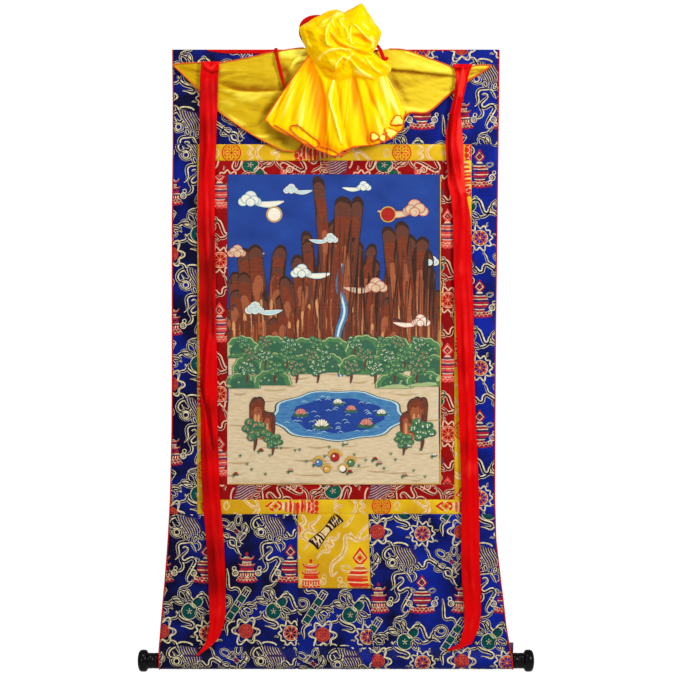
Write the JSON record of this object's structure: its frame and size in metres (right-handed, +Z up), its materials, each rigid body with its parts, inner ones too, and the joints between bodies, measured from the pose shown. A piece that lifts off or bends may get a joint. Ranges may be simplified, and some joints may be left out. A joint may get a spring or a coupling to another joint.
{
  "type": "hanging scroll painting",
  "caption": "Hanging scroll painting in a blue brocade mount, with red ribbons, a gathered yellow silk veil and a roller with black knobs",
  "frame": {"origin": "middle of the mount's top edge, in the cloth's own plane, where it hangs from", "axes": "+Z up, +X to the viewer's right, and the viewer in front at -Y"},
  "size_m": [0.837, 0.1121, 1.4032],
  "materials": {
    "blue_brocade": "woven silk look, navy ground with cream, red and green figures",
    "yellow_brocade": "woven silk look, yellow ground with cream and orange figures",
    "red_brocade": "woven silk look, red ground with cream and green figures",
    "canvas": "painted cotton canvas, matt",
    "red_satin": "red satin ribbon",
    "red_piping": "red corded piping",
    "red_tape": "red tape",
    "red_tie": "red satin tie",
    "yellow_silk": "thin glossy yellow silk with an overlocked orange edge",
    "wood": "plain turned wood",
    "lacquer": "black gloss lacquer on turned wood"
  },
  "bodies": {
    "root": {"brocade_top": "blue_brocade", "brocade_left": "blue_brocade", "brocade_right": "blue_brocade", "brocade_lower_left": "blue_brocade", "brocade_lower_middle": "blue_brocade", "brocade_lower_right": "blue_brocade", "piping_left": "red_piping", "piping_right": "red_piping", "heading_tape": "red_tape", "yellow_top": "yellow_brocade", "yellow_bottom": "yellow_brocade", "yellow_left": "yellow_brocade", "yellow_right": "yellow_brocade", "red_top": "red_brocade", "red_bottom": "red_brocade", "red_left": "red_brocade", "red_right": "red_brocade", "painting": "canvas", "door_patch": "yellow_brocade", "ribbon_left": "red_satin", "ribbon_right": "red_satin", "veil": "yellow_silk", "tie": "red_tie", "tie_tail": "red_tie", "roller_dowel": "wood", "knob_left": "lacquer", "knob_right": "lacquer"}
  },
  "joints": []
}
